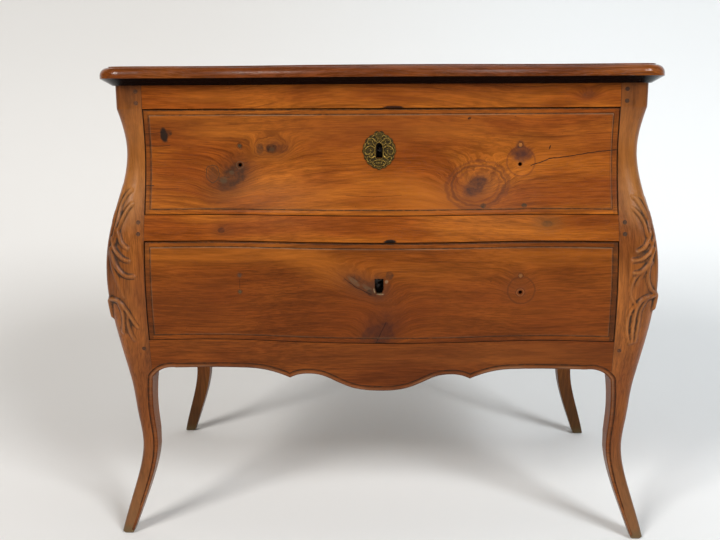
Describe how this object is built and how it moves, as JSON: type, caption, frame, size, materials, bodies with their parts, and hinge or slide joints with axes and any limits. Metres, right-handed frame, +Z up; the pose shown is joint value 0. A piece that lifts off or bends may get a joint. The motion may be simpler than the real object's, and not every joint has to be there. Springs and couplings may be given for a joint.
{
  "type": "bombe chest of drawers",
  "caption": "Bombe chest with a serpentine front, swelling sides, sabre legs, a bullnosed top and two locking drawers above a scrolled apron.",
  "frame": {"origin": "on the floor, under the middle of the chest's outer box", "axes": "+X to the right as seen from the front, +Y from the front to the back, +Z up"},
  "size_m": [1.02, 0.6098, 0.887],
  "materials": {
    "case_wood": "waxed satin fruitwood, orange brown",
    "top_wood": "waxed satin fruitwood, redder and darker than the case",
    "inner_wood": "raw old wood, dry and unpolished",
    "peg_wood": "dark end grain, waxed",
    "brass": "old cast brass, dark olive gold in the hollows",
    "iron": "old wrought iron, dark and dull"
  },
  "bodies": {
    "case": {"top_board": "top_wood", "upper_front_rail": "case_wood", "middle_front_rail": "case_wood", "front_apron": "case_wood", "back_top_rail": "inner_wood", "back_bottom_rail": "inner_wood", "frame_pegs": "peg_wood", "drawer_stops": "inner_wood", "top_glue_blocks": "iron", "back_board_lower": "inner_wood", "back_board_middle": "inner_wood", "back_board_upper": "inner_wood", "left_front_post": "case_wood", "right_front_post": "case_wood", "left_rear_post": "case_wood", "right_rear_post": "case_wood", "left_side_top_rail": "case_wood", "right_side_top_rail": "case_wood", "left_side_panel": "case_wood", "right_side_panel": "case_wood", "left_side_apron": "case_wood", "right_side_apron": "case_wood", "left_lower_runner": "inner_wood", "right_lower_runner": "inner_wood", "left_lower_guide": "inner_wood", "right_lower_guide": "inner_wood", "left_upper_runner": "inner_wood", "right_upper_runner": "inner_wood", "left_upper_guide": "inner_wood", "right_upper_guide": "inner_wood", "left_kicker": "inner_wood", "right_kicker": "inner_wood"},
    "upper_drawer": {"upper_drawer_front": "case_wood", "upper_drawer_left_side": "inner_wood", "upper_drawer_right_side": "inner_wood", "upper_drawer_back": "inner_wood", "upper_drawer_bottom": "inner_wood", "upper_drawer_bottom_nails": "iron", "upper_pull_hole_plugs": "peg_wood", "upper_lock_plate": "iron", "upper_lock_key_pin": "iron", "upper_lock_spring": "iron", "upper_lock_nails": "iron", "upper_escutcheon": "brass", "upper_escutcheon_pins": "brass"},
    "lower_drawer": {"lower_drawer_front": "case_wood", "lower_drawer_left_side": "inner_wood", "lower_drawer_right_side": "inner_wood", "lower_drawer_back": "inner_wood", "lower_drawer_bottom": "inner_wood", "lower_drawer_bottom_nails": "iron", "lower_pull_hole_plugs": "peg_wood", "lower_lock_plate": "iron", "lower_lock_key_pin": "iron", "lower_lock_spring": "iron", "lower_lock_nails": "iron"},
    "upper_bolt": {"upper_lock_bolt": "iron"},
    "lower_bolt": {"lower_lock_bolt": "iron"}
  },
  "joints": [
    {"name": "upper_drawer_slide", "type": "slide", "parent": "case", "child": "upper_drawer", "axis": [0, -1, 0], "range_m": [0, 0.4]},
    {"name": "lower_drawer_slide", "type": "slide", "parent": "case", "child": "lower_drawer", "axis": [0, -1, 0], "range_m": [0, 0.4]},
    {"name": "upper_bolt_throw", "type": "slide", "parent": "upper_drawer", "child": "upper_bolt", "axis": [0, 0, 1], "range_m": [0, 0.009]},
    {"name": "lower_bolt_throw", "type": "slide", "parent": "lower_drawer", "child": "lower_bolt", "axis": [0, 0, 1], "range_m": [0, 0.009]}
  ]
}
